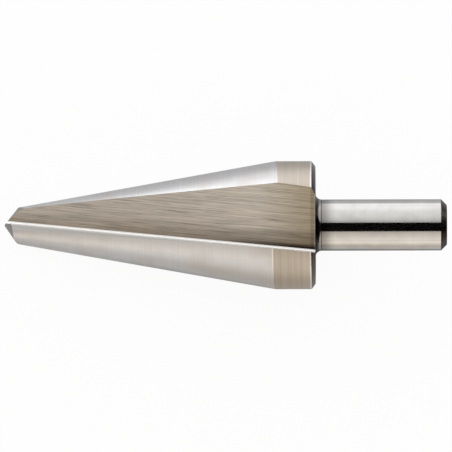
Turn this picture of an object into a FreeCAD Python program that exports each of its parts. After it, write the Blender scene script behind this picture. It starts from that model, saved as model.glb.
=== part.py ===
import FreeCAD, Part
import itertools
import math
import os
import Sketcher

# Cone drill bit, ground from one bar of high-speed steel. It is modelled along X with its tip at 0,
# Y across and Z towards its first cutting edge, and is then laid down as it comes to rest.
# Two straight flutes, each a flat floor, a rake wall and a rounded corner between them, lead and rise
# with the cone. The lands between them are backed off from their cutting edges. Each flank of the
# point is part of a cylinder, which falls away behind its lip. The bit cuts clockwise, seen from the
# shank.

SIZES = (
    ("largest_diameter", 20.0, "hole size at the wide end of the cone"),
    ("cone_angle", 20.1, "full angle of the cone"),
    ("cone_length", 42.0, "tip to the wide end of the cone"),
    ("guide_length", 6.7, "cylinder behind the cone, with its chamfer"),
    ("guide_chamfer_length", 0.6, "rear chamfer, along the bit"),
    ("guide_chamfer_depth", 0.8, "rear chamfer, across the bit"),
    ("shank_diameter", 8.0, "shank that the chuck grips"),
    ("shank_length", 20.5, "back face to the end of the shank"),
    ("shank_chamfer", 0.9, "chamfer at the end of the shank"),
    ("neck_radius", 1.0, "fillet from the back face to the shank"),
    ("land_relief", 0.1, "bit's axis to the centre of a land's cone"),
    ("land_azimuth", 10.0, "direction of that centre, round the bit from Z"),
    ("land_lead_in", 30.0, "angle before that direction where a land's grind starts"),
    ("flute_lead", 5.44, "angle by which a flute drifts across"),
    ("flute_rise", 6.83, "angle by which a flute rises with the cone"),
    ("floor_tilt", 11.6, "tilt of a flute's floor"),
    ("wall_angle", 79.0, "angle between a flute's floor and its rake wall"),
    ("corner_across", 0.43, "bit's axis to a flute's corner at the tip, across"),
    ("corner_height", 0.36, "bit's axis to a flute's corner at the tip, upwards"),
    ("corner_radius", 0.35, "radius ground into a flute's corner"),
    ("edge_azimuth", 6.0, "way that the flat behind a cutting edge faces, round the bit from Z"),
    ("flank_radius", 3.8, "radius of a flank of the point"),
    ("flank_tilt", 59.0, "angle between a flank's axis and the bit's axis"),
    ("flank_azimuth", 144.0, "direction of a flank's axis round the bit"),
    ("flank_depth", 3.81, "tip to a flank's axis, down"),
    ("flank_offset", 0.72, "tip to a flank's axis, sideways"),
    ("overrun", 1.0, "how far a grind runs past the steel"),
)

doc = FreeCAD.newDocument("ConeDrillBit")
sheet = doc.addObject("Spreadsheet::Sheet", "Sizes")
for row, (alias, value, note) in enumerate(SIZES, start=1):
    sheet.set(f"A{row}", note)
    sheet.set(f"B{row}", str(value))
    sheet.setAlias(f"B{row}", alias)
doc.recompute()

body = doc.addObject("PartDesign::Body", "DrillBit")
body.Label = "drill_bit"

# How a constraint names the ends and the centre of an edge, and the sketch's own origin.
START, END, CENTRE = 1, 2, 3
ORIGIN = (-1, START)

# Corners this close to a plane lie on it, and a grind that takes less steel than this has missed.
TOUCH = 0.001
LEAST_CUT = 0.1


def origin_part(role):
    """The body's own origin plane or axis."""
    return next(item for item in body.Origin.OriginFeatures if item.Role == role)


def new_sketch(name, role, turn=None):
    """A sketch on an origin plane of the body, turned by an expression if one is given."""
    sketch = body.newObject("Sketcher::SketchObject", name)
    sketch.AttachmentSupport = [(origin_part(role), "")]
    sketch.MapMode = "FlatFace"
    if turn:
        sketch.setExpression("AttachmentOffset", f"placement(vector(0; 0; 0); {turn})")
    return sketch


def join(sketch, edge, following):
    """Joins the end of one edge to the start of the next."""
    sketch.addConstraint(Sketcher.Constraint("Coincident", edge, END, following, START))


def draw_edges(sketch, corners, construction=False):
    """Straight edges from corner to corner. Edge 0 starts at the first corner."""
    places = [
        FreeCAD.Vector(sketch.evalExpression(across), sketch.evalExpression(up), 0)
        for across, up in corners
    ]
    for edge, (start, end) in enumerate(zip(places, places[1:])):
        sketch.addGeometry(Part.LineSegment(start, end), construction)
        if edge:
            join(sketch, edge - 1, edge)


def constrain(sketch, kind, *edges):
    """The same geometric rule on each edge."""
    for edge in edges:
        sketch.addConstraint(Sketcher.Constraint(kind, edge))


def dimension(sketch, kind, refs, expression):
    """A driving dimension, bound to the sheet."""
    value = sketch.evalExpression(expression)
    if kind == "Angle":
        value = math.radians(value)
    index = sketch.addConstraint(Sketcher.Constraint(kind, *refs, value))
    sketch.setExpression(f"Constraints[{index}]", expression)


def locate(sketch, edge, end, across, up):
    """Sets how far an edge's end lies across and up from the sketch's origin."""
    dimension(sketch, "DistanceX", (*ORIGIN, edge, end), across)
    dimension(sketch, "DistanceY", (*ORIGIN, edge, end), up)


def round_corner(sketch, edge, expression):
    """A fillet at the end of an edge, tangent to it and to the next edge."""
    fillet = sketch.GeometryCount
    sketch.solve()
    sketch.fillet(edge, END, sketch.evalExpression(expression), True, False)
    dimension(sketch, "Radius", (fillet,), expression)


def finish_feature(feature):
    """Computes a feature, and checks that it changed the steel."""
    before = feature.BaseFeature.Shape.Volume if feature.BaseFeature else 0.0
    doc.recompute()
    if abs(feature.Shape.Volume - before) < LEAST_CUT:
        raise RuntimeError(f"{feature.Name} changed nothing")


def add_opposite(feature):
    """The same grind again, half a turn round the bit."""
    pattern = body.newObject("PartDesign::PolarPattern", f"{feature.Name}Pair")
    pattern.Originals = [feature]
    pattern.Axis = (origin_part("X_Axis"), [""])
    pattern.Angle = 360.0
    pattern.Occurrences = 2
    body.Tip = pattern
    finish_feature(pattern)


# The turned blank: a bar with its rear chamfer, neck fillet, shank and end chamfer.
body_radius = "Sizes.largest_diameter / 2"
shank_radius = "Sizes.shank_diameter / 2"
back_face = "Sizes.cone_length + Sizes.guide_length"
shank_end = f"{back_face} + Sizes.shank_length"

blank_sketch = new_sketch("BlankSketch", "XZ_Plane")
draw_edges(blank_sketch, (
    ("0", "0"),
    ("0", body_radius),
    (f"{back_face} - Sizes.guide_chamfer_length", body_radius),
    (back_face, f"{body_radius} - Sizes.guide_chamfer_depth"),
    (back_face, shank_radius),
    (f"{shank_end} - Sizes.shank_chamfer", shank_radius),
    (shank_end, f"{shank_radius} - Sizes.shank_chamfer"),
    (shank_end, "0"),
    ("0", "0"),
))
TIP_FACE, GUIDE, GUIDE_CHAMFER, BACK_FACE, SHANK, SHANK_CHAMFER, END_FACE, AXIS = range(8)
join(blank_sketch, AXIS, TIP_FACE)
constrain(blank_sketch, "Vertical", TIP_FACE, BACK_FACE, END_FACE)
constrain(blank_sketch, "Horizontal", GUIDE, SHANK, AXIS)
blank_sketch.addConstraint(Sketcher.Constraint("Coincident", TIP_FACE, START, *ORIGIN))
dimension(blank_sketch, "DistanceY", (*ORIGIN, GUIDE, START), body_radius)
dimension(blank_sketch, "DistanceX", (*ORIGIN, BACK_FACE, START), back_face)
dimension(blank_sketch, "DistanceX", (GUIDE_CHAMFER, START, GUIDE_CHAMFER, END),
          "Sizes.guide_chamfer_length")
dimension(blank_sketch, "DistanceY", (GUIDE_CHAMFER, END, GUIDE_CHAMFER, START),
          "Sizes.guide_chamfer_depth")
locate(blank_sketch, SHANK_CHAMFER, START, f"{shank_end} - Sizes.shank_chamfer", shank_radius)
locate(blank_sketch, SHANK_CHAMFER, END, shank_end, f"{shank_radius} - Sizes.shank_chamfer")
round_corner(blank_sketch, BACK_FACE, "Sizes.neck_radius")

blank = body.newObject("PartDesign::Revolution", "Blank")
blank.Profile = blank_sketch
blank.ReferenceAxis = (blank_sketch, ["H_Axis"])
blank.Angle = 360.0
finish_feature(blank)

# The lands: each half of the cone is ground about a centre that is shifted towards its cutting edge,
# so that the land falls away behind that edge. Each grind starts and stops over an open flute.
half_angle = "Sizes.cone_angle / 2"
run_out = f"{body_radius} + Sizes.overrun"
cone_run = f"Sizes.cone_length + Sizes.overrun / tan({half_angle})"

cone_front = f"{body_radius} - (Sizes.cone_length + Sizes.overrun) * tan({half_angle})"

land_sketch = new_sketch("LandSketch", "XZ_Plane", "rotation(0; 0; Sizes.land_azimuth)")
draw_edges(land_sketch, (
    ("-Sizes.overrun", cone_front),
    (cone_run, run_out),
    ("-Sizes.overrun", run_out),
    ("-Sizes.overrun", cone_front),
))
draw_edges(land_sketch, (("0", "Sizes.land_relief"), ("Sizes.cone_length", "Sizes.land_relief")), True)
CONE, OUTSIDE, FRONT, LAND_AXIS = range(4)
join(land_sketch, FRONT, CONE)
constrain(land_sketch, "Horizontal", OUTSIDE)
constrain(land_sketch, "Vertical", FRONT)
locate(land_sketch, CONE, END, cone_run, run_out)
dimension(land_sketch, "DistanceX", (FRONT, START, *ORIGIN), "Sizes.overrun")
dimension(land_sketch, "Angle", (CONE,), half_angle)
constrain(land_sketch, "Horizontal", LAND_AXIS)
dimension(land_sketch, "DistanceX", (*ORIGIN, LAND_AXIS, END), "Sizes.cone_length")
dimension(land_sketch, "DistanceX", (LAND_AXIS, START, LAND_AXIS, END), "Sizes.cone_length")
dimension(land_sketch, "DistanceY", (*ORIGIN, LAND_AXIS, START), "Sizes.land_relief")

land = body.newObject("PartDesign::Groove", "Land")
land.Profile = land_sketch
land.ReferenceAxis = (land_sketch, ["Axis0"])
land.Type = "TwoAngles"
land.setExpression("Angle", "180 - Sizes.land_lead_in")
land.setExpression("Angle2", "Sizes.land_lead_in")
finish_feature(land)
add_opposite(land)

# The flutes: the wheel's section, drawn square to the way it travels along the bit.
reach = "Sizes.largest_diameter"
flute_length = f"2 * ({shank_end})"

flute_sketch = new_sketch("FluteSketch", "YZ_Plane", "rotation(0; -Sizes.flute_lead; -Sizes.flute_rise)")
draw_edges(flute_sketch, (
    ("Sizes.corner_across", reach),
    ("Sizes.corner_across", "Sizes.corner_height"),
    (reach, f"Sizes.corner_height + {reach} * tan(Sizes.floor_tilt)"),
    (reach, reach),
    ("Sizes.corner_across", reach),
))
WALL, FLOOR, FAR_SIDE, ABOVE = range(4)
join(flute_sketch, ABOVE, WALL)
constrain(flute_sketch, "Vertical", FAR_SIDE)
constrain(flute_sketch, "Horizontal", ABOVE)
locate(flute_sketch, FLOOR, START, "Sizes.corner_across", "Sizes.corner_height")
locate(flute_sketch, ABOVE, START, reach, reach)
dimension(flute_sketch, "Angle", (FLOOR,), "Sizes.floor_tilt")
dimension(flute_sketch, "Angle", (FLOOR, START, WALL, END), "Sizes.wall_angle")
round_corner(flute_sketch, WALL, "Sizes.corner_radius")

flute = body.newObject("PartDesign::Pocket", "Flute")
flute.Profile = flute_sketch
flute.SideType = "Symmetric"
flute.setExpression("Length", flute_length)
finish_feature(flute)
add_opposite(flute)

# The cutting edges: where a flute meets its land, the edge bulges. A narrow flat ground on the land
# behind it, from the point to the wide end, makes the edge straight.


def edge_height(along):
    """How far the ends of a straight cutting edge are from the axis, the way that its flat faces."""
    across = f"(Sizes.corner_across - ({along}) * tan(Sizes.flute_lead))"
    radius = f"({body_radius} - (Sizes.cone_length - ({along})) * tan({half_angle}))"
    return f"sqrt({radius} ^ 2 - {across} ^ 2) * cos(Sizes.edge_azimuth) + {across} * sin(Sizes.edge_azimuth)"


edge_sketch = new_sketch("EdgeSketch", "XZ_Plane", "rotation(0; 0; -Sizes.edge_azimuth)")
draw_edges(edge_sketch, (
    ("0", edge_height("0")),
    ("Sizes.cone_length", edge_height("Sizes.cone_length")),
    ("Sizes.cone_length", run_out),
    ("0", run_out),
    ("0", edge_height("0")),
))
FLAT, WIDE_END, CLEAR, POINT_END = range(4)
join(edge_sketch, POINT_END, FLAT)
constrain(edge_sketch, "Vertical", WIDE_END, POINT_END)
constrain(edge_sketch, "Horizontal", CLEAR)
locate(edge_sketch, FLAT, START, "0", edge_height("0"))
locate(edge_sketch, FLAT, END, "Sizes.cone_length", edge_height("Sizes.cone_length"))
dimension(edge_sketch, "DistanceY", (*ORIGIN, CLEAR, START), run_out)

edge_flat = body.newObject("PartDesign::Pocket", "EdgeFlat")
edge_flat.Profile = edge_sketch
edge_flat.SideType = "Symmetric"
edge_flat.setExpression("Length", reach)
finish_feature(edge_flat)
add_opposite(edge_flat)

# The point: each flank is ground to a cylinder whose axis leans back from the lip.
flank_side = "Sizes.flank_radius + Sizes.overrun"
flank_top = "Sizes.flank_radius"
flank_stroke = "4 * Sizes.flank_radius"

flank_sketch = new_sketch("FlankSketch", "YZ_Plane", "rotation(Sizes.flank_azimuth; Sizes.flank_tilt; 0)")
draw_edges(flank_sketch, (
    ("-Sizes.flank_depth", "Sizes.flank_radius - Sizes.flank_offset"),
    ("-Sizes.flank_depth", f"{flank_side} - Sizes.flank_offset"),
    (flank_top, f"{flank_side} - Sizes.flank_offset"),
    (flank_top, f"-({flank_side}) - Sizes.flank_offset"),
    ("-Sizes.flank_depth", f"-({flank_side}) - Sizes.flank_offset"),
    ("-Sizes.flank_depth", "-Sizes.flank_radius - Sizes.flank_offset"),
))
LEFT_EDGE, LEFT_SIDE, TOP_SIDE, RIGHT_SIDE, RIGHT_EDGE, FLANK = range(6)
flank_centre = FreeCAD.Vector(
    -flank_sketch.evalExpression("Sizes.flank_depth"),
    -flank_sketch.evalExpression("Sizes.flank_offset"),
    0,
)
flank_circle = Part.Circle(
    flank_centre, FreeCAD.Vector(0, 0, 1), flank_sketch.evalExpression("Sizes.flank_radius")
)
flank_sketch.addGeometry(Part.ArcOfCircle(flank_circle, -math.pi / 2, math.pi / 2))
join(flank_sketch, RIGHT_EDGE, FLANK)
join(flank_sketch, FLANK, LEFT_EDGE)
constrain(flank_sketch, "Vertical", LEFT_EDGE, TOP_SIDE, RIGHT_EDGE)
constrain(flank_sketch, "Horizontal", LEFT_SIDE, RIGHT_SIDE)
flank_sketch.addConstraint(Sketcher.Constraint("PointOnObject", FLANK, CENTRE, RIGHT_EDGE))
dimension(flank_sketch, "Radius", (FLANK,), "Sizes.flank_radius")
dimension(flank_sketch, "DistanceX", (FLANK, CENTRE, *ORIGIN), "Sizes.flank_depth")
dimension(flank_sketch, "DistanceY", (FLANK, CENTRE, *ORIGIN), "Sizes.flank_offset")
dimension(flank_sketch, "DistanceX", (*ORIGIN, TOP_SIDE, START), flank_top)
dimension(flank_sketch, "DistanceY", (FLANK, CENTRE, LEFT_SIDE, START), flank_side)
dimension(flank_sketch, "DistanceY", (RIGHT_SIDE, END, FLANK, CENTRE), flank_side)

flank = body.newObject("PartDesign::Pocket", "Flank")
flank.Profile = flank_sketch
flank.SideType = "Symmetric"
flank.setExpression("Length", flank_stroke)
finish_feature(flank)
add_opposite(flank)


def support_under(steel):
    """The outward normal of the lowest face that the bit can lie on, through three of its corners."""
    corners = [vertex.Point for vertex in steel.Vertexes]
    centre = steel.CenterOfMass
    lowest = FreeCAD.Vector(0, 0, 0)
    for feet in itertools.combinations(corners, 3):
        first, second, third = feet
        normal = (second - first).cross(third - first)
        if normal.Length < TOUCH:
            continue
        normal.normalize()
        if normal.dot(centre - first) > 0:
            normal = -normal
        if normal.z > lowest.z or max(normal.dot(corner - first) for corner in corners) > TOUCH:
            continue
        sides = [
            normal.dot((end - start).cross(centre - start))
            for start, end in ((first, second), (second, third), (third, first))
        ]
        if min(sides) > 0 or max(sides) < 0:
            lowest = normal
    return lowest


# The bit lies across one open flute: on the cutting edge of one land, the heel of the other, and a
# lip. The origin is under the middle of it, on the surface that it lies on.
steel = body.Shape.Solids[0]
up = -support_under(steel)
along = FreeCAD.Vector(1, 0, 0)
along = along - up * along.dot(up)
turned = FreeCAD.Rotation(along, up.cross(along), up, "ZXY").inverted()
laid = steel.copy()
laid.Placement = FreeCAD.Placement(FreeCAD.Vector(0, 0, 0), turned)
box = laid.optimalBoundingBox(False, False)
body.Placement = FreeCAD.Placement(FreeCAD.Vector(-box.Center.x, -box.Center.y, -box.ZMin), turned)
doc.recompute()

failed = [item.Name for item in doc.Objects if {"Invalid", "Error"} & set(item.State)]
if failed:
    raise RuntimeError(f"not computed: {failed}")
if body.Shape.isNull() or not body.Shape.isValid() or len(body.Shape.Solids) != 1:
    raise RuntimeError("the drill bit is not one valid solid")

os.makedirs("parts", exist_ok=True)
body.Shape.exportStep(f"parts/{body.Label}.step")
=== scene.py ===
import math

import bpy
from mathutils import Euler, Matrix, Vector


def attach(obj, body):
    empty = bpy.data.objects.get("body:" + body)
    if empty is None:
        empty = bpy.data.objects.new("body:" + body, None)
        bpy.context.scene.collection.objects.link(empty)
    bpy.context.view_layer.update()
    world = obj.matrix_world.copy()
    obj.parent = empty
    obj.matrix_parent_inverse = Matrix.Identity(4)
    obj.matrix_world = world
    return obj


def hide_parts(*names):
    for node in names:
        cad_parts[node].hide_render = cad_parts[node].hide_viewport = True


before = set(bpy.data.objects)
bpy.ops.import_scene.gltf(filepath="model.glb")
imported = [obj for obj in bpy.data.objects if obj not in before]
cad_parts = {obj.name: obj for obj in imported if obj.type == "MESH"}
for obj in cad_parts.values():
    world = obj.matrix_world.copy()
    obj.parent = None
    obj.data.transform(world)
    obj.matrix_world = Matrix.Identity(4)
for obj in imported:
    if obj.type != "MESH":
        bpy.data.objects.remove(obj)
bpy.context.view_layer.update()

MM = 0.001

# The blank: a bar of high-speed steel, turned to a guide cylinder with a rear chamfer, a filleted
# neck and an 8 mm shank with a chamfered end, then hardened and ground. It is made along X, with Y
# across and Z towards the first cutting edge, and laid down when it is finished.
LARGEST_RADIUS = 10.0
CONE_LENGTH = 42.0
BACK_FACE = 48.7
SHANK_RADIUS = 4.0
SHANK_END = 69.2
NECK_RADIUS = 1.0
REAR_CHAMFER_LENGTH = 0.6
REAR_CHAMFER_DEPTH = 0.8
END_CHAMFER = 0.9
ROUND_STEPS = 256
NECK_STEPS = 12

# The turned outline behind the front face: how far along, and the radius there. Each sharp corner
# is broken by a few hundredths, as the tumbling before the flutes are ground leaves it.
BREAK = 0.06
chamfer_start = BACK_FACE - REAR_CHAMFER_LENGTH
chamfer_foot = LARGEST_RADIUS - REAR_CHAMFER_DEPTH
chamfer_slant = math.hypot(REAR_CHAMFER_LENGTH, REAR_CHAMFER_DEPTH)
break_along = BREAK * REAR_CHAMFER_LENGTH / chamfer_slant
break_in = BREAK * REAR_CHAMFER_DEPTH / chamfer_slant
turned_outline = [
    (chamfer_start - BREAK, LARGEST_RADIUS),
    (chamfer_start + break_along, LARGEST_RADIUS - break_in),
    (BACK_FACE - break_along, chamfer_foot + break_in),
    (BACK_FACE, chamfer_foot - BREAK),
]
for step in range(NECK_STEPS + 1):
    turn = math.radians(90 * step / NECK_STEPS)
    turned_outline.append((
        BACK_FACE + NECK_RADIUS * (1 - math.cos(turn)),
        SHANK_RADIUS + NECK_RADIUS * (1 - math.sin(turn)),
    ))
end_break = BREAK * 0.7  # along and in alike, because the end chamfer is at 45 degrees
turned_outline += [
    (SHANK_END - END_CHAMFER - BREAK, SHANK_RADIUS),
    (SHANK_END - END_CHAMFER + end_break, SHANK_RADIUS - end_break),
    (SHANK_END - end_break, SHANK_RADIUS - END_CHAMFER + end_break),
    (SHANK_END, SHANK_RADIUS - END_CHAMFER - BREAK),
]

bpy.ops.object.select_all(action="DESELECT")
bpy.ops.mesh.primitive_circle_add(
    vertices=ROUND_STEPS, radius=LARGEST_RADIUS * MM, fill_type="NGON",
    rotation=(0, math.radians(90), 0),
)
bit = bpy.context.object
bit.name = "ground_drill_bit"
bpy.ops.object.transform_apply(location=True, rotation=True, scale=True)
bpy.ops.object.mode_set(mode="EDIT")
bpy.ops.mesh.select_all(action="SELECT")
along, radius = 0.0, LARGEST_RADIUS
for next_along, next_radius in turned_outline:
    bpy.ops.mesh.extrude_region_move(
        TRANSFORM_OT_translate={"value": ((next_along - along) * MM, 0, 0)}
    )
    if next_radius != radius:
        wider = next_radius / radius
        bpy.ops.transform.resize(
            value=(1, wider, wider), center_override=(next_along * MM, 0, 0)
        )
    along, radius = next_along, next_radius
bpy.ops.mesh.select_all(action="SELECT")
bpy.ops.mesh.normals_make_consistent(inside=False)
bpy.ops.object.mode_set(mode="OBJECT")

# Where the finished bit lies. Every finish is drawn in the bit's own frame, in millimetres from
# its tip, so that the marks follow the path of the wheel that left them.
LAID_TURN = Euler((math.radians(10.8845), math.radians(-8.05191), 0))
TIP_PLACE = Vector((-34.5043, 0, 2.52896)) * MM


def linear(colour):
    """An sRGB hex colour as the linear colour that a shader takes."""
    parts = [int(colour[place:place + 2], 16) / 255 for place in (1, 3, 5)]
    return [p / 12.92 if p <= 0.04045 else ((p + 0.055) / 1.055) ** 2.4 for p in parts] + [1.0]


def add_node(tree, kind, inputs=None, **settings):
    """Adds a node with its settings, and sets or links its inputs."""
    node = tree.nodes.new(kind)
    for name, value in settings.items():
        setattr(node, name, value)
    for name, value in (inputs or {}).items():
        if isinstance(value, bpy.types.NodeSocket):
            tree.links.new(value, node.inputs[name])
        else:
            node.inputs[name].default_value = value
    return node


def bare_steel(name):
    """A new steel with its nodes, its shader, and the place on the bit in mm from the tip."""
    steel = bpy.data.materials.new(name)
    steel.use_nodes = True
    tree = steel.node_tree
    metal = tree.nodes["Principled BSDF"]
    metal.inputs["Metallic"].default_value = 1.0
    place = add_node(tree, "ShaderNodeTexCoord")
    on_bit = add_node(tree, "ShaderNodeMapping", {
        "Vector": place.outputs["Object"], "Location": TIP_PLACE, "Rotation": LAID_TURN,
        "Scale": (MM, MM, MM),
    }, vector_type="TEXTURE")
    return steel, tree, metal, on_bit.outputs["Vector"]


def grinding_marks(tree, on_bit, grain, turn=(0, 0, 0)):
    """Marks of a grinding wheel: grain is their size in mm along each axis of the wheel's path."""
    stretched = add_node(tree, "ShaderNodeMapping", {
        "Vector": on_bit, "Rotation": turn, "Scale": grain,
    }, vector_type="TEXTURE")
    return add_node(tree, "ShaderNodeTexNoise", {
        "Vector": stretched.outputs["Vector"], "Scale": 1.0, "Detail": 4.0, "Roughness": 0.6,
    }).outputs["Fac"]


def wear_finish(tree, metal, marks, on_bit, depth, smoothest, roughest, cloud_size):
    """Marks from a fifth of a micron to three microns deep, and a shine that changes in clouds."""
    cloud = add_node(tree, "ShaderNodeTexNoise", {
        "Vector": on_bit, "Scale": 1 / cloud_size, "Detail": 2.0, "Roughness": 0.5,
    })
    shine = add_node(tree, "ShaderNodeMapRange", {
        "Value": cloud.outputs["Fac"], "From Min": 0.3, "From Max": 0.7,
        "To Min": smoothest, "To Max": roughest,
    })
    tree.links.new(shine.outputs["Result"], metal.inputs["Roughness"])
    relief = add_node(tree, "ShaderNodeBump", {
        "Height": marks, "Strength": 1.0, "Distance": depth * MM,
    })
    tree.links.new(relief.outputs["Normal"], metal.inputs["Normal"])
    return cloud.outputs["Fac"]


# Ground shank: centreless ground almost to a mirror, with faint dull clouds from handling, and
# darker beside the neck. The real marks round it are too fine to show, and are drawn four to a
# millimetre, so that the bands of light along it keep a fine tooth.
shank_steel, tree, metal, on_bit = bare_steel("centreless_ground_shank_steel")
marks = grinding_marks(tree, on_bit, (0.25, 30.0, 30.0))
cloud = wear_finish(
    tree, metal, marks, on_bit, depth=0.0002, smoothest=0.06, roughest=0.11, cloud_size=2.0,
)
tone = add_node(tree, "ShaderNodeMixRGB", {
    "Fac": marks, "Color1": linear("#d5d3cf"), "Color2": linear("#e0dedb"),
})
along_bit = add_node(tree, "ShaderNodeSeparateXYZ", {"Vector": on_bit})
dull = add_node(tree, "ShaderNodeMapRange", {
    "Value": cloud, "From Min": 0.4, "From Max": 0.7, "To Min": 0.0, "To Max": 0.35,
})
dull_tone = add_node(tree, "ShaderNodeMixRGB", {
    "Fac": dull.outputs["Result"], "Color1": tone.outputs["Color"], "Color2": linear("#bbb8b4"),
})
# Darker on the shank within 3.4 mm of the back face.
beside_neck = add_node(tree, "ShaderNodeMapRange", {
    "Value": along_bit.outputs["X"], "From Min": BACK_FACE + 3.4, "From Max": BACK_FACE + 0.8,
}, interpolation_type="SMOOTHSTEP")
beside_neck_tone = add_node(tree, "ShaderNodeMixRGB", {
    "Fac": beside_neck.outputs["Result"], "Color1": dull_tone.outputs["Color"],
    "Color2": linear("#94918e"),
})
tree.links.new(beside_neck_tone.outputs["Color"], metal.inputs["Base Color"])

# Ground guide: the short cylinder behind the cone is ground in a second pass by a coarser wheel.
# Its marks round the bit are drawn three to a millimetre, so that they show as fine upright lines.
# It keeps a faint straw tint from the heat, and a painted highlight brightens its two edges.
guide_steel, tree, metal, on_bit = bare_steel("cylindrical_ground_guide_steel")
marks = grinding_marks(tree, on_bit, (0.3, 40.0, 40.0))
wear_finish(
    tree, metal, marks, on_bit, depth=0.0008, smoothest=0.3, roughest=0.4, cloud_size=4.0,
)
tone = add_node(tree, "ShaderNodeMixRGB", {
    "Fac": marks, "Color1": linear("#aa9f90"), "Color2": linear("#d4cbbf"),
})
along_bit = add_node(tree, "ShaderNodeSeparateXYZ", {"Vector": on_bit})
# Painted highlight: a narrow bright band at each edge of the guide.
front_edge_highlight = add_node(tree, "ShaderNodeMapRange", {
    "Value": along_bit.outputs["X"], "From Min": CONE_LENGTH + 0.28,
    "From Max": CONE_LENGTH + 0.16,
})
rear_edge_highlight = add_node(tree, "ShaderNodeMapRange", {
    "Value": along_bit.outputs["X"], "From Min": BACK_FACE - 0.85, "From Max": BACK_FACE - 0.75,
})
edges = add_node(tree, "ShaderNodeMath", {
    0: front_edge_highlight.outputs["Result"], 1: rear_edge_highlight.outputs["Result"],
}, operation="ADD")
painted_edge_highlights = add_node(tree, "ShaderNodeMixRGB", {
    "Fac": edges.outputs["Value"], "Color1": tone.outputs["Color"], "Color2": linear("#efece6"),
})
tree.links.new(painted_edge_highlights.outputs["Color"], metal.inputs["Base Color"])

# Turned and hardened: the chamfers and the end faces are not ground after hardening, so they keep
# a dark skin with the rings of the lathe, drawn eight to a millimetre so that they show. The rear
# chamfer is darkest beside the guide's edge.
turned_steel, tree, metal, on_bit = bare_steel("turned_hardened_steel")
rings = grinding_marks(tree, on_bit, (0.12, 2.0, 2.0))
wear_finish(
    tree, metal, rings, on_bit, depth=0.0006, smoothest=0.18, roughest=0.26, cloud_size=2.0,
)
tone = add_node(tree, "ShaderNodeMixRGB", {
    "Fac": rings, "Color1": linear("#514a46"), "Color2": linear("#6e6864"),
})
along_bit = add_node(tree, "ShaderNodeSeparateXYZ", {"Vector": on_bit})
# Darker at the front of the rear chamfer, beside the guide.
past_guide = add_node(tree, "ShaderNodeMapRange", {
    "Value": along_bit.outputs["X"], "From Min": BACK_FACE - 0.38, "From Max": BACK_FACE - 0.5,
    "To Min": 0.0, "To Max": 0.8,
})
dark_edge = add_node(tree, "ShaderNodeMixRGB", {
    "Fac": past_guide.outputs["Result"], "Color1": tone.outputs["Color"],
    "Color2": linear("#1a1715"),
})
tree.links.new(dark_edge.outputs["Color"], metal.inputs["Base Color"])

# Ground neck: the rounded corner of the shank's wheel grinds the fillet to a glossy grey. Its
# colour is painted shade and highlight: dark at its foot, in the corner by the back face, light
# round its middle, and a dark line ends it at the shank.
neck_steel, tree, metal, on_bit = bare_steel("ground_neck_steel")
rings = grinding_marks(tree, on_bit, (0.2, 8.0, 8.0))
wear_finish(
    tree, metal, rings, on_bit, depth=0.0003, smoothest=0.14, roughest=0.2, cloud_size=2.0,
)
along_bit = add_node(tree, "ShaderNodeSeparateXYZ", {"Vector": on_bit})
up_fillet = add_node(tree, "ShaderNodeMapRange", {
    "Value": along_bit.outputs["X"], "From Min": BACK_FACE, "From Max": BACK_FACE + NECK_RADIUS,
})
# Painted shade and highlight across the fillet, from its foot to the shank.
fillet_painted_shade = add_node(tree, "ShaderNodeValToRGB", {"Fac": up_fillet.outputs["Result"]})
fillet_painted_shade.color_ramp.elements[0].color = linear("#141210")
fillet_painted_shade.color_ramp.elements[1].color = linear("#5a5754")
for place, colour in (
    (0.25, "#2a2725"), (0.4, "#4a4643"), (0.55, "#88847f"), (0.7, "#aca8a3"), (0.82, "#a5a19d"),
    (0.88, "#5a5754"),
):
    fillet_painted_shade.color_ramp.elements.new(place).color = linear(colour)
tree.links.new(fillet_painted_shade.outputs["Color"], metal.inputs["Base Color"])

GUIDE, TURNED, SHANK, NECK = range(4)
for steel in (guide_steel, turned_steel, shank_steel, neck_steel):
    bit.data.materials.append(steel)
for face in bit.data.polygons:
    along = face.center.x / MM
    if abs(face.normal.x) < 0.01 and along > BACK_FACE:
        face.material_index = SHANK
    elif BACK_FACE + 0.005 < along < BACK_FACE + NECK_RADIUS:
        face.material_index = NECK
    elif along > chamfer_start:
        face.material_index = TURNED
    else:
        face.material_index = GUIDE


def grind(cutter):
    """Cuts the bit with a finished cutter and its copy; the cut faces take the cutter's finish."""
    for wheel in (cutter, half_turn(cutter)):
        cut = bit.modifiers.new("Grind", "BOOLEAN")
        cut.operation = "DIFFERENCE"
        cut.solver = "EXACT"
        cut.object = wheel
        cut.material_mode = "TRANSFER"
        bpy.context.view_layer.objects.active = bit
        bpy.ops.object.modifier_apply(modifier=cut.name)
        bpy.data.objects.remove(wheel)


def half_turn(cutter):
    """A copy of a cutter with its own mesh, half a turn round the bit."""
    opposite = cutter.copy()
    opposite.data = cutter.data.copy()
    bpy.context.scene.collection.objects.link(opposite)
    opposite.data.transform(Matrix.Rotation(math.pi, 4, "X"))
    return opposite


# The lands: the two halves of the cone, each ground about a centre a tenth of a millimetre nearer
# its cutting edge, so that it falls away behind that edge. The wheel runs round the bit.
HALF_ANGLE = math.radians(10.05)
LAND_RELIEF = 0.1
LAND_AZIMUTH = math.radians(10.0)
LAND_START = math.radians(-20.0)
OVERRUN = 1.0
MERGE_WITHIN = 0.0001

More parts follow.
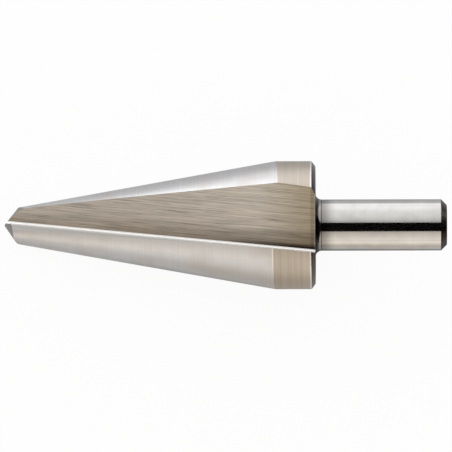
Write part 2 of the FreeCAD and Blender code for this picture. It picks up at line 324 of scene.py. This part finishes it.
bpy.ops.object.select_all(action="DESELECT")
bpy.ops.mesh.primitive_plane_add(size=1)
land_cutter = bpy.context.object
land_cutter.name = "land_cutter"
front_radius = LARGEST_RADIUS - (CONE_LENGTH + OVERRUN) * math.tan(HALF_ANGLE)
cone_run = CONE_LENGTH + OVERRUN / math.tan(HALF_ANGLE)
land_centre = Vector((0, -math.sin(LAND_AZIMUTH), math.cos(LAND_AZIMUTH))) * LAND_RELIEF
start_turn = Matrix.Rotation(LAND_START, 3, "X")
land_section = [
    (-OVERRUN, front_radius), (cone_run, LARGEST_RADIUS + OVERRUN),
    (-OVERRUN, (front_radius + LARGEST_RADIUS) / 2), (-OVERRUN, LARGEST_RADIUS + OVERRUN),
]
for vertex, (x, r) in zip(land_cutter.data.vertices, land_section):
    vertex.co = (start_turn @ Vector((x, 0, r - LAND_RELIEF)) + land_centre) * MM
land_cutter.data.update()
bpy.ops.object.mode_set(mode="EDIT")
bpy.ops.mesh.select_all(action="SELECT")
bpy.ops.mesh.spin(
    steps=ROUND_STEPS // 2, angle=-math.pi, center=land_centre * MM, axis=(1, 0, 0)
)
bpy.ops.mesh.select_all(action="SELECT")
bpy.ops.mesh.remove_doubles(threshold=MERGE_WITHIN * MM)
bpy.ops.mesh.normals_make_consistent(inside=False)
bpy.ops.object.mode_set(mode="OBJECT")

# Relief-ground land: a fine wheel gives a satin that is brighter than the guide's, with soft
# clouds of straw where the wheel dwelt. Its marks are drawn three to a millimetre, as faint
# upright lines.
land_steel, tree, metal, on_bit = bare_steel("relief_ground_land_steel")
marks = grinding_marks(tree, on_bit, (0.3, 40.0, 40.0))
cloud = wear_finish(
    tree, metal, marks, on_bit, depth=0.0005, smoothest=0.26, roughest=0.34, cloud_size=5.0,
)
tone = add_node(tree, "ShaderNodeMixRGB", {
    "Fac": marks, "Color1": linear("#cecdcc"), "Color2": linear("#e2e2e2"),
})
straw = add_node(tree, "ShaderNodeMapRange", {
    "Value": cloud, "From Min": 0.45, "From Max": 0.75, "To Min": 0.0, "To Max": 0.6,
})
tinted = add_node(tree, "ShaderNodeMixRGB", {
    "Fac": straw.outputs["Result"], "Color1": tone.outputs["Color"], "Color2": linear("#c9bfb5"),
})
tree.links.new(tinted.outputs["Color"], metal.inputs["Base Color"])
land_cutter.data.materials.append(land_steel)
grind(land_cutter)


def own_half(tree, on_bit):
    """The place on the bit, half a turn round on the far half: both halves have one pattern."""
    parts = add_node(tree, "ShaderNodeSeparateXYZ", {"Vector": on_bit})
    side = add_node(tree, "ShaderNodeMath", {0: parts.outputs["Z"]}, operation="SIGN")
    sides = add_node(tree, "ShaderNodeCombineXYZ", {
        "X": 1.0, "Y": side.outputs["Value"], "Z": side.outputs["Value"],
    })
    return add_node(tree, "ShaderNodeVectorMath", {
        0: on_bit, 1: sides.outputs["Vector"],
    }, operation="MULTIPLY").outputs["Vector"]


# The flutes: two straight cuts, each with a flat floor, a rake wall that ends in the cutting edge,
# and a small radius between them. The wheel runs along the bit, a little across it, and rises.
FLUTE_LEAD = math.radians(5.44)
FLUTE_RISE = math.radians(6.83)
FLOOR_TILT = math.radians(11.6)
WALL_ANGLE = math.radians(79.0)
CORNER = Vector((0.43, 0.36))
CORNER_RADIUS = 0.35
CORNER_STEPS = 10
REACH = 20.0

bpy.ops.object.select_all(action="DESELECT")
bpy.ops.mesh.primitive_plane_add(size=1)
flute_cutter = bpy.context.object
flute_cutter.name = "flute_cutter"
wall_turn = FLOOR_TILT + WALL_ANGLE
flute_section = [
    (CORNER.x, CORNER.y),
    (REACH, CORNER.y + (REACH - CORNER.x) * math.tan(FLOOR_TILT)),
    (CORNER.x + (REACH - CORNER.y) / math.tan(wall_turn), REACH),
    (REACH, REACH),
]
for vertex, (across, up) in zip(flute_cutter.data.vertices, flute_section):
    vertex.co = Vector((across, up, -SHANK_END)) * MM
flute_cutter.data.update()
for vertex in flute_cutter.data.vertices:
    vertex.select = vertex.index == 0
bpy.ops.object.mode_set(mode="EDIT")
bpy.ops.mesh.select_mode(type="VERT")
bpy.ops.mesh.bevel(
    affect="VERTICES", offset_type="OFFSET", segments=CORNER_STEPS,
    offset=CORNER_RADIUS / math.tan(WALL_ANGLE / 2) * MM,
)
bpy.ops.mesh.select_all(action="SELECT")
bpy.ops.mesh.extrude_region_move(
    TRANSFORM_OT_translate={"value": (0, 0, 2 * SHANK_END * MM)}
)
bpy.ops.mesh.select_all(action="SELECT")
bpy.ops.mesh.normals_make_consistent(inside=False)
bpy.ops.object.mode_set(mode="OBJECT")

across_up_along = Matrix(((0, 0, 1), (1, 0, 0), (0, 1, 0)))
flute_turn = (
    across_up_along @ Matrix.Rotation(-FLUTE_LEAD, 3, "Y") @ Matrix.Rotation(-FLUTE_RISE, 3, "X")
)

# Ground flute floor: a coarse wheel runs along the flute and heats the steel, which is left with
# long scratches and a straw tint. A browner streak beside the rake wall is painted shade. The
# scratches are drawn a tenth of a millimetre wide, and the darker lines a little wider, so that
# they show.
FLOOR_AT_WALL = 0.4
FLOOR_AT_HEEL = 9.0

floor_steel, tree, metal, on_bit = bare_steel("lengthwise_ground_flute_steel")
parts = add_node(tree, "ShaderNodeSeparateXYZ", {"Vector": on_bit})
in_flute = own_half(tree, on_bit)
wheel_path = flute_turn.to_euler()
scratches = grinding_marks(tree, in_flute, (0.09, 0.6, 8.0), wheel_path)
lines = grinding_marks(tree, in_flute, (0.14, 1.0, 8.0), wheel_path)
broad = grinding_marks(tree, in_flute, (0.5, 2.0, 30.0), wheel_path)
wear_finish(
    tree, metal, scratches, on_bit, depth=0.003, smoothest=0.32, roughest=0.42, cloud_size=4.0,
)

# The tint goes from brown at the wall, which is painted shade in the corner, to pale straw
# at the heel, and is paler near the tip.
straight = add_node(tree, "ShaderNodeMapping", {
    "Vector": in_flute, "Rotation": wheel_path,
}, vector_type="TEXTURE")
straight_parts = add_node(tree, "ShaderNodeSeparateXYZ", {"Vector": straight.outputs["Vector"]})
across_floor = add_node(tree, "ShaderNodeMapRange", {
    "Value": straight_parts.outputs["X"], "From Min": FLOOR_AT_WALL, "From Max": FLOOR_AT_HEEL,
})
tip_shift = add_node(tree, "ShaderNodeMapRange", {
    "Value": parts.outputs["X"], "From Min": 2.0, "From Max": 22.0, "To Min": 0.1, "To Max": 0.0,
})
shifted = add_node(tree, "ShaderNodeMath", {
    0: across_floor.outputs["Result"], 1: tip_shift.outputs["Result"],
}, operation="ADD")
# Painted shade: the tint darkens to brown in the corner at the wall.
floor_tint_and_corner_shade = add_node(tree, "ShaderNodeValToRGB", {"Fac": shifted.outputs["Value"]})
floor_tint_and_corner_shade.color_ramp.elements[0].color = linear("#93857a")
floor_tint_and_corner_shade.color_ramp.elements[1].color = linear("#e0d8cc")
for place, colour in (
    (0.08, "#a59788"), (0.2, "#c2b6a8"), (0.35, "#dad0c4"), (0.6, "#ded5ca"),
):
    floor_tint_and_corner_shade.color_ramp.elements.new(place).color = linear(colour)

# The scratches, and over them fewer and darker lines.
worn = add_node(tree, "ShaderNodeMapRange", {
    "Value": scratches, "From Min": 0.36, "From Max": 0.6, "To Min": 0.7, "To Max": 1.14,
})
dark_lines = add_node(tree, "ShaderNodeMapRange", {
    "Value": lines, "From Min": 0.39, "From Max": 0.42, "To Min": 0.66, "To Max": 1.04,
})
lined = add_node(tree, "ShaderNodeMath", {
    0: worn.outputs["Result"], 1: dark_lines.outputs["Result"],
}, operation="MULTIPLY")

# Broad dull bands, and painted shade that darkens the front part.
dulled = add_node(tree, "ShaderNodeMapRange", {
    "Value": broad, "From Min": 0.35, "From Max": 0.65, "To Min": 0.92, "To Max": 1.06,
})
front_painted_shade = add_node(tree, "ShaderNodeMapRange", {
    "Value": parts.outputs["X"], "From Min": 20.0, "From Max": 36.0, "To Min": 0.86, "To Max": 1.0,
})
dull_bands_and_front_shade = add_node(tree, "ShaderNodeMath", {
    0: dulled.outputs["Result"], 1: front_painted_shade.outputs["Result"],
}, operation="MULTIPLY")

# The brown streak is painted shade: it lies beside the wall, darkens and widens towards the rear,
# and is darkest right at the wall near both ends.
widening = add_node(tree, "ShaderNodeMapRange", {
    "Value": parts.outputs["X"], "From Min": 30.0, "From Max": 46.0,
    "To Min": 0.0, "To Max": -0.17,
})
from_wall = add_node(tree, "ShaderNodeMath", {
    0: across_floor.outputs["Result"], 1: widening.outputs["Result"],
}, operation="ADD")
near_wall = add_node(tree, "ShaderNodeMapRange", {
    "Value": from_wall.outputs["Value"], "From Min": 0.25, "From Max": 0.18,
})
rear_shadow = add_node(tree, "ShaderNodeMapRange", {
    "Value": parts.outputs["X"], "From Min": 15.0, "From Max": 36.0, "To Min": 0.0, "To Max": -0.3,
})
shadowed = add_node(tree, "ShaderNodeMath", {
    0: near_wall.outputs["Result"], 1: rear_shadow.outputs["Result"], 2: 1.0,
}, operation="MULTIPLY_ADD")
at_wall = add_node(tree, "ShaderNodeMapRange", {
    "Value": across_floor.outputs["Result"], "From Min": 0.15, "From Max": 0.08,
})
rear_shadow_streak = add_node(tree, "ShaderNodeMapRange", {
    "Value": parts.outputs["X"], "From Min": 35.0, "From Max": 45.0, "To Min": 0.0, "To Max": -0.6,
})
point_shadow_streak = add_node(tree, "ShaderNodeMapRange", {
    "Value": parts.outputs["X"], "From Min": 7.0, "From Max": 2.5, "To Min": 0.0, "To Max": -0.24,
})
end_shadow_streaks = add_node(tree, "ShaderNodeMath", {
    0: rear_shadow_streak.outputs["Result"], 1: point_shadow_streak.outputs["Result"],
}, operation="ADD")
shadow_streaked = add_node(tree, "ShaderNodeMath", {
    0: at_wall.outputs["Result"], 1: end_shadow_streaks.outputs["Value"],
    2: shadowed.outputs["Value"],
}, operation="MULTIPLY_ADD")

# Over the rear chamfer the floor is darker, and a painted highlight brightens its rear edge.
over_rear_chamfer = add_node(tree, "ShaderNodeMapRange", {
    "Value": parts.outputs["X"], "From Min": BACK_FACE - 0.8, "From Max": BACK_FACE - 0.65,
    "To Min": 1.0, "To Max": 0.76,
})
rear_shade = add_node(tree, "ShaderNodeMath", {
    0: shadow_streaked.outputs["Value"], 1: over_rear_chamfer.outputs["Result"],
}, operation="MULTIPLY")
front_shade = add_node(tree, "ShaderNodeMath", {
    0: rear_shade.outputs["Value"], 1: dull_bands_and_front_shade.outputs["Value"],
}, operation="MULTIPLY")
floor_shade = add_node(tree, "ShaderNodeMath", {
    0: lined.outputs["Value"], 1: front_shade.outputs["Value"],
}, operation="MULTIPLY")
rear_part = add_node(tree, "ShaderNodeMapRange", {
    "Value": parts.outputs["X"], "From Min": CONE_LENGTH - 2.0, "From Max": BACK_FACE,
})
rear_tint = add_node(tree, "ShaderNodeMixRGB", {
    "Fac": rear_part.outputs["Result"], "Color1": floor_tint_and_corner_shade.outputs["Color"],
    "Color2": linear("#e2d9c4"),
}, blend_type="MULTIPLY")
# Painted highlight on the floor's rear edge.
rear_edge_highlight = add_node(tree, "ShaderNodeMapRange", {
    "Value": parts.outputs["X"], "From Min": BACK_FACE - 0.2, "From Max": BACK_FACE - 0.1,
})
painted_rear_highlight = add_node(tree, "ShaderNodeMixRGB", {
    "Fac": rear_edge_highlight.outputs["Result"], "Color1": rear_tint.outputs["Color"],
    "Color2": linear("#d5cdbd"),
})
# The floor's colour, times its scratches and lines and the painted shade above.
scratched_and_shaded = add_node(tree, "ShaderNodeVectorMath", {
    0: painted_rear_highlight.outputs["Color"], "Scale": floor_shade.outputs["Value"],
}, operation="SCALE")
tree.links.new(scratched_and_shaded.outputs["Vector"], metal.inputs["Base Color"])

# Ground rake wall: the side of the same wheel leaves the wall and its corner smooth, with
# lengthwise marks that are drawn five to a millimetre. Their near-white colour is a painted
# highlight, which makes them show as a bright strip.
wall_steel, tree, metal, on_bit = bare_steel("side_ground_rake_steel")
marks = grinding_marks(tree, on_bit, (0.2, 0.2, 30.0), wheel_path)
wear_finish(
    tree, metal, marks, on_bit, depth=0.0003, smoothest=0.3, roughest=0.38, cloud_size=4.0,
)
# Painted highlight: the near-white colour makes the wall and its corner a bright strip.
tone = add_node(tree, "ShaderNodeMixRGB", {
    "Fac": marks, "Color1": linear("#f8f5f0"), "Color2": linear("#ffffff"),
})
tree.links.new(tone.outputs["Color"], metal.inputs["Base Color"])

FLOOR, WALL = range(2)
flute_cutter.data.materials.append(floor_steel)
flute_cutter.data.materials.append(wall_steel)
floor_side = Vector((math.sin(FLOOR_TILT), -math.cos(FLOOR_TILT), 0))
for face in flute_cutter.data.polygons:
    face.material_index = FLOOR if face.normal.dot(floor_side) > 0.999 else WALL
flute_cutter.data.transform(flute_turn.to_4x4())
grind(flute_cutter)

# The cutting edges: behind each one a flat, a third of a millimetre wide, is stoned on the land
# from the point to the wide end. It takes the burr off and makes the edge straight.
EDGE_AZIMUTH = math.radians(6.0)

bpy.ops.object.select_all(action="DESELECT")
bpy.ops.mesh.primitive_cube_add(size=1)
edge_stone = bpy.context.object
edge_stone.name = "edge_stone"
for vertex in edge_stone.data.vertices:
    x = CONE_LENGTH if vertex.co.x > 0 else 0.0
    across = CORNER.x - x * math.tan(FLUTE_LEAD)
    cone_radius = LARGEST_RADIUS - (CONE_LENGTH - x) * math.tan(HALF_ANGLE)
    height = (
        math.sqrt(cone_radius**2 - across**2) * math.cos(EDGE_AZIMUTH)
        + across * math.sin(EDGE_AZIMUTH)
    )
    z = LARGEST_RADIUS + OVERRUN if vertex.co.z > 0 else height
    vertex.co = Vector((x, math.copysign(LARGEST_RADIUS, vertex.co.y), z)) * MM
edge_stone.data.transform(Matrix.Rotation(-EDGE_AZIMUTH, 4, "X"))

# Stoned edge: as fine as the land, with a painted highlight that makes it a little brighter
# at the edge itself.
HIGHLIGHT_FROM = 0.24
HIGHLIGHT_TO = 0.16

edge_steel, tree, metal, on_bit = bare_steel("stoned_edge_steel")
marks = grinding_marks(tree, on_bit, (0.2, 0.2, 20.0), wheel_path)
wear_finish(
    tree, metal, marks, on_bit, depth=0.0003, smoothest=0.28, roughest=0.36, cloud_size=4.0,
)
straight = add_node(tree, "ShaderNodeMapping", {
    "Vector": own_half(tree, on_bit), "Rotation": wheel_path,
}, vector_type="TEXTURE")
straight_parts = add_node(tree, "ShaderNodeSeparateXYZ", {"Vector": straight.outputs["Vector"]})
# Painted highlight along the cutting edge.
cutting_edge_highlight = add_node(tree, "ShaderNodeMapRange", {
    "Value": straight_parts.outputs["X"], "From Min": CORNER.x - HIGHLIGHT_FROM,
    "From Max": CORNER.x - HIGHLIGHT_TO,
})
stoned = add_node(tree, "ShaderNodeMixRGB", {
    "Fac": cutting_edge_highlight.outputs["Result"], "Color1": linear("#c8c6c4"), "Color2": linear("#d8d6d3"),
})
tree.links.new(stoned.outputs["Color"], metal.inputs["Base Color"])
edge_stone.data.materials.append(edge_steel)
grind(edge_stone)

# The point: each flank is ground to part of a cylinder that leans back from its lip, so that it
# falls away behind the lip. Where the two flanks meet, they leave a short chisel edge.
FLANK_RADIUS = 3.8
FLANK_TILT = math.radians(59.0)
FLANK_AZIMUTH = math.radians(144.0)
FLANK_CENTRE = (-3.81, -0.72)
FLANK_LENGTH = 20.0

bpy.ops.object.select_all(action="DESELECT")
bpy.ops.mesh.primitive_cylinder_add(
    vertices=ROUND_STEPS, radius=FLANK_RADIUS * MM, depth=FLANK_LENGTH * MM,
    location=(FLANK_CENTRE[0] * MM, FLANK_CENTRE[1] * MM, 0),
)
kept = bpy.context.object
bpy.ops.object.transform_apply(location=True, rotation=True, scale=True)
bpy.ops.object.select_all(action="DESELECT")
bpy.ops.mesh.primitive_cube_add(size=1)
flank_cutter = bpy.context.object
flank_cutter.name = "flank_cutter"
flank_side = FLANK_RADIUS + OVERRUN
for vertex in flank_cutter.data.vertices:
    x = FLANK_RADIUS if vertex.co.x > 0 else FLANK_CENTRE[0]
    y = FLANK_CENTRE[1] + math.copysign(flank_side, vertex.co.y)
    vertex.co = Vector((x, y, math.copysign(2 * FLANK_RADIUS, vertex.co.z))) * MM
hollow = flank_cutter.modifiers.new("Hollow", "BOOLEAN")
hollow.operation = "DIFFERENCE"
hollow.solver = "EXACT"
hollow.object = kept
bpy.ops.object.modifier_apply(modifier=hollow.name)
bpy.data.objects.remove(kept)
flank_turn = (
    across_up_along @ Matrix.Rotation(FLANK_AZIMUTH, 3, "Z") @ Matrix.Rotation(FLANK_TILT, 3, "Y")
)
flank_cutter.data.transform(flank_turn.to_4x4())

# Ground point: the flanks are ground last, on a tool grinder, and are left a clean neutral grey,
# with marks that are drawn eight to a millimetre.
point_steel, tree, metal, on_bit = bare_steel("point_ground_steel")
marks = grinding_marks(tree, on_bit, (0.8, 0.12, 0.8))
wear_finish(
    tree, metal, marks, on_bit, depth=0.0006, smoothest=0.3, roughest=0.4, cloud_size=1.5,
)
tone = add_node(tree, "ShaderNodeMixRGB", {
    "Fac": marks, "Color1": linear("#8f8e8c"), "Color2": linear("#b6b5b3"),
})
tree.links.new(tone.outputs["Color"], metal.inputs["Base Color"])
flank_cutter.data.materials.clear()
flank_cutter.data.materials.append(point_steel)
for face in flank_cutter.data.polygons:
    face.material_index = 0
grind(flank_cutter)

# Laid down: the bit lies across one open flute. Its ground edges stay sharp, as the wheel leaves
# them, and only its rounds are smooth.
SHARP_FROM = math.radians(12)

bit.data.transform(Matrix.Translation(TIP_PLACE) @ LAID_TURN.to_matrix().to_4x4())
bit.data.update()
bpy.ops.object.select_all(action="DESELECT")
bit.select_set(True)
bpy.context.view_layer.objects.active = bit
bpy.ops.object.shade_smooth_by_angle(angle=SHARP_FROM)
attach(bit, "root")
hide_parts("drill_bit")

# The floor: a white sheet under the bit. Seen straight, in metal or through glass it is mostly its
# own white, and the rest is lit, so that the bit keeps a soft shadow.
SHEET_SIZE = 4.0
OWN_WHITE = 0.93

bpy.ops.object.select_all(action="DESELECT")
bpy.ops.mesh.primitive_plane_add(size=SHEET_SIZE)
sheet = bpy.context.object
sheet.name = "white_sheet"
paper = bpy.data.materials.new("white_paper_sheet")
paper.use_nodes = True
tree = paper.node_tree
lit = tree.nodes["Principled BSDF"]
lit.inputs["Base Color"].default_value = linear("#ffffff")
lit.inputs["Roughness"].default_value = 0.9
path = add_node(tree, "ShaderNodeLightPath")
straight_or_gloss = add_node(tree, "ShaderNodeMath", {
    0: path.outputs["Is Camera Ray"], 1: path.outputs["Is Glossy Ray"],
}, operation="ADD")
seen = add_node(tree, "ShaderNodeMath", {
    0: straight_or_gloss.outputs["Value"], 1: path.outputs["Is Transmission Ray"],
}, operation="ADD", use_clamp=True)
share = add_node(tree, "ShaderNodeMath", {
    0: seen.outputs["Value"], 1: OWN_WHITE,
}, operation="MULTIPLY")
white = add_node(tree, "ShaderNodeEmission", {"Color": (1, 1, 1, 1), "Strength": 1.0})
mixed = add_node(tree, "ShaderNodeMixShader", {
    "Fac": share.outputs["Value"], 1: lit.outputs["BSDF"], 2: white.outputs["Emission"],
})
tree.links.new(mixed.outputs["Shader"], tree.nodes["Material Output"].inputs["Surface"])
sheet.data.materials.append(paper)

# The light: a white tent, a little cooler and brighter on the far side of the bit, most of all
# past the tip, and warmer and dimmer on the near side. A dim strip hangs beyond each edge of the
# black card. The colour goes by a ray's direction round the bit's axis.
tent = bpy.data.worlds.new("white_tent")
tent.use_nodes = True
tree = tent.node_tree
way = add_node(tree, "ShaderNodeTexCoord")
by_bit = add_node(tree, "ShaderNodeMapping", {
    "Vector": way.outputs["Generated"], "Rotation": LAID_TURN,
}, vector_type="TEXTURE")
way_parts = add_node(tree, "ShaderNodeSeparateXYZ", {"Vector": by_bit.outputs["Vector"]})
round_bit = add_node(tree, "ShaderNodeMath", {
    0: way_parts.outputs["Y"], 1: way_parts.outputs["Z"],
}, operation="ARCTAN2")
round_share = add_node(tree, "ShaderNodeMapRange", {
    "Value": round_bit.outputs["Value"], "From Min": -math.pi, "From Max": math.pi,
})
tent_tint = add_node(tree, "ShaderNodeValToRGB", {"Fac": round_share.outputs["Result"]})
tent_tint.color_ramp.elements[0].color = (0.6, 0.57, 0.54, 1)
tent_tint.color_ramp.elements[1].color = (0.6, 0.6, 0.6, 1)
for place, colour in (
    (0.15, (0.66, 0.61, 0.56)), (0.25, (0.88, 0.81, 0.74)), (0.31, (1.0, 0.93, 0.85)),
    (0.375, (0.76, 0.7, 0.64)), (0.4, (0.66, 0.61, 0.56)), (0.42, (0.5, 0.47, 0.44)),
    (0.435, (0.7, 0.67, 0.63)), (0.48, (0.78, 0.76, 0.73)), (0.52, (0.85, 0.85, 0.84)),
    (0.535, (0.48, 0.48, 0.48)), (0.57, (0.76, 0.76, 0.75)), (0.61, (0.9, 0.9, 0.89)),
    (0.68, (1.03, 1.03, 1.04)), (0.73, (1.22, 1.23, 1.26)), (0.79, (1.2, 1.21, 1.24)),
    (0.92, (0.75, 0.75, 0.76)),
):
    tent_tint.color_ramp.elements.new(place).color = (*colour, 1)
past_tip = add_node(tree, "ShaderNodeMapRange", {
    "Value": way_parts.outputs["X"], "From Min": -0.08, "From Max": -0.3,
})
far_side = add_node(tree, "ShaderNodeMapRange", {
    "Value": round_bit.outputs["Value"], "From Min": 0.3, "From Max": 0.9,
    "To Min": 0.0, "To Max": 0.55,
})
tent_strength = add_node(tree, "ShaderNodeMath", {
    0: past_tip.outputs["Result"], 1: far_side.outputs["Result"], 2: 1.0,
}, operation="MULTIPLY_ADD")
tree.links.new(tent_tint.outputs["Color"], tree.nodes["Background"].inputs["Color"])
tree.links.new(tent_strength.outputs["Value"], tree.nodes["Background"].inputs["Strength"])
bpy.context.scene.world = tent

# The black card: it hangs over the bit, out of the picture, and turns down behind the shank's end.
# The shank mirrors it as a black band, and the neck and the end chamfer are dark in the middle.
CARD_HEIGHT = 300.0
CARD_ALONG = (15.0, 170.0)
CARD_ACROSS = (-165.0, 57.0)
CARD_FOOT = -12.0

bpy.ops.object.select_all(action="DESELECT")
bpy.ops.mesh.primitive_plane_add(size=1)
card = bpy.context.object
card.name = "black_card"
bpy.ops.object.mode_set(mode="EDIT")
bpy.ops.mesh.select_mode(type="VERT")
bpy.ops.mesh.select_all(action="DESELECT")
bpy.ops.object.mode_set(mode="OBJECT")
for vertex in card.data.vertices:
    vertex.select = vertex.co.x > 0
    vertex.co = Vector((
        CARD_ALONG[vertex.co.x > 0], CARD_ACROSS[vertex.co.y > 0], CARD_HEIGHT,
    )) * MM
bpy.ops.object.mode_set(mode="EDIT")
bpy.ops.mesh.extrude_region_move(
    TRANSFORM_OT_translate={"value": (0, 0, (CARD_FOOT - CARD_HEIGHT) * MM)}
)
bpy.ops.object.mode_set(mode="OBJECT")
card.data.transform(Matrix.Translation(TIP_PLACE) @ LAID_TURN.to_matrix().to_4x4())
card.data.update()
felt = bpy.data.materials.new("black_felt_card")
felt.use_nodes = True
nap = felt.node_tree.nodes["Principled BSDF"]
nap.inputs["Base Color"].default_value = linear("#050505")
nap.inputs["Roughness"].default_value = 1.0
nap.inputs["Specular IOR Level"].default_value = 0.0
card.data.materials.append(felt)
card.visible_camera = False
card.visible_diffuse = False
card.visible_shadow = False

# The grey card: it lies round the bit on the sheet, out of the picture, darkest close to the bit
# and past the shank, and lighter near the tip and on the near side of the shank. The rounded sides
# of the bit mirror it, which gives them their grey outlines against the white.
GREY_CARD_SIZE = 1.2
GREY_CARD_HEIGHT = 0.05

bpy.ops.object.select_all(action="DESELECT")
bpy.ops.mesh.primitive_plane_add(size=GREY_CARD_SIZE, location=(0, 0, GREY_CARD_HEIGHT * MM))
grey_card = bpy.context.object
grey_card.name = "grey_card"
bpy.ops.object.transform_apply(location=True, rotation=True, scale=True)
board = bpy.data.materials.new("grey_board_card")
board.use_nodes = True
tree = board.node_tree
place = add_node(tree, "ShaderNodeTexCoord")
place_parts = add_node(tree, "ShaderNodeSeparateXYZ", {"Vector": place.outputs["Object"]})
across_board = add_node(tree, "ShaderNodeMapRange", {
    "Value": place_parts.outputs["Y"], "From Min": -100 * MM, "From Max": 100 * MM,
})
board_tint = add_node(tree, "ShaderNodeValToRGB", {"Fac": across_board.outputs["Result"]})
board_tint.color_ramp.elements[0].color = (0.94, 0.87, 0.79, 1)
board_tint.color_ramp.elements[1].color = (1.3, 1.3, 1.34, 1)
for place_on_board, colour in (
    (0.2, (0.82, 0.75, 0.67)), (0.31, (0.7, 0.64, 0.58)), (0.36, (0.57, 0.52, 0.47)),
    (0.4, (0.52, 0.48, 0.44)), (0.435, (0.52, 0.5, 0.48)), (0.455, (0.3, 0.3, 0.3)),
    (0.475, (0.14, 0.14, 0.15)), (0.54, (0.36, 0.37, 0.39)), (0.6, (0.54, 0.54, 0.56)),
    (0.66, (0.6, 0.61, 0.63)), (0.71, (0.62, 0.62, 0.64)), (0.77, (0.8, 0.8, 0.83)),
    (0.85, (1.05, 1.05, 1.08)),
):
    board_tint.color_ramp.elements.new(place_on_board).color = (*colour, 1)
near_tip = add_node(tree, "ShaderNodeMapRange", {
    "Value": place_parts.outputs["X"], "From Min": 4 * MM, "From Max": -28 * MM,
    "To Min": 0.0, "To Max": 0.65,
})
lighter = add_node(tree, "ShaderNodeMixRGB", {
    "Fac": near_tip.outputs["Result"], "Color1": board_tint.outputs["Color"],
    "Color2": (0.75, 0.75, 0.75, 1),
})
past_shank = add_node(tree, "ShaderNodeMapRange", {
    "Value": place_parts.outputs["X"], "From Min": 40 * MM, "From Max": 80 * MM,
    "To Min": 1.0, "To Max": 0.3,
})
by_shank = add_node(tree, "ShaderNodeMapRange", {
    "Value": place_parts.outputs["X"], "From Min": 8 * MM, "From Max": 18 * MM,
    "To Min": 0.0, "To Max": 0.16,
})
near_side = add_node(tree, "ShaderNodeMapRange", {
    "Value": place_parts.outputs["Y"], "From Min": 0.0, "From Max": -12 * MM,
})
beside_shank = add_node(tree, "ShaderNodeMath", {
    0: by_shank.outputs["Result"], 1: near_side.outputs["Result"], 2: 1.0,
}, operation="MULTIPLY_ADD")
strength = add_node(tree, "ShaderNodeMath", {
    0: past_shank.outputs["Result"], 1: beside_shank.outputs["Value"],
}, operation="MULTIPLY")
glow = add_node(tree, "ShaderNodeEmission", {
    "Color": lighter.outputs["Color"], "Strength": strength.outputs["Value"],
})
tree.links.new(glow.outputs["Emission"], tree.nodes["Material Output"].inputs["Surface"])
grey_card.data.materials.append(board)
grey_card.visible_camera = False
grey_card.visible_diffuse = False
grey_card.visible_shadow = False

# The camera: a long lens straight above the open flute, tipped a little towards the shank, and
# turned so that the bit's axis rises slightly to the right.
CAMERA_TIP = math.radians(1.4)
CAMERA_ROLL = math.radians(0.148)
CAMERA_DISTANCE = 850.0
LENS_LENGTH = 433.3
SENSOR_WIDTH = 36.0
AIM = Vector((34.72, -0.10, 0.0))

toward = Vector((math.sin(CAMERA_TIP), 0, math.cos(CAMERA_TIP)))
level_right = Vector((math.cos(CAMERA_TIP), 0, -math.sin(CAMERA_TIP)))
level_up = Vector((0, 1, 0))
right = level_right * math.cos(CAMERA_ROLL) - level_up * math.sin(CAMERA_ROLL)
up = level_up * math.cos(CAMERA_ROLL) + level_right * math.sin(CAMERA_ROLL)
camera_turn = LAID_TURN.to_matrix() @ Matrix((right, up, toward)).transposed()
camera_place = TIP_PLACE + LAID_TURN.to_matrix() @ ((AIM + toward * CAMERA_DISTANCE) * MM)
lens = bpy.data.cameras.new("long_lens")
lens.lens = LENS_LENGTH
lens.sensor_width = SENSOR_WIDTH
camera = bpy.data.objects.new("long_lens", lens)
camera.matrix_world = Matrix.Translation(camera_place) @ camera_turn.to_4x4()
bpy.context.scene.collection.objects.link(camera)
bpy.context.scene.camera = camera
bpy.context.scene.view_settings.view_transform = "Standard"
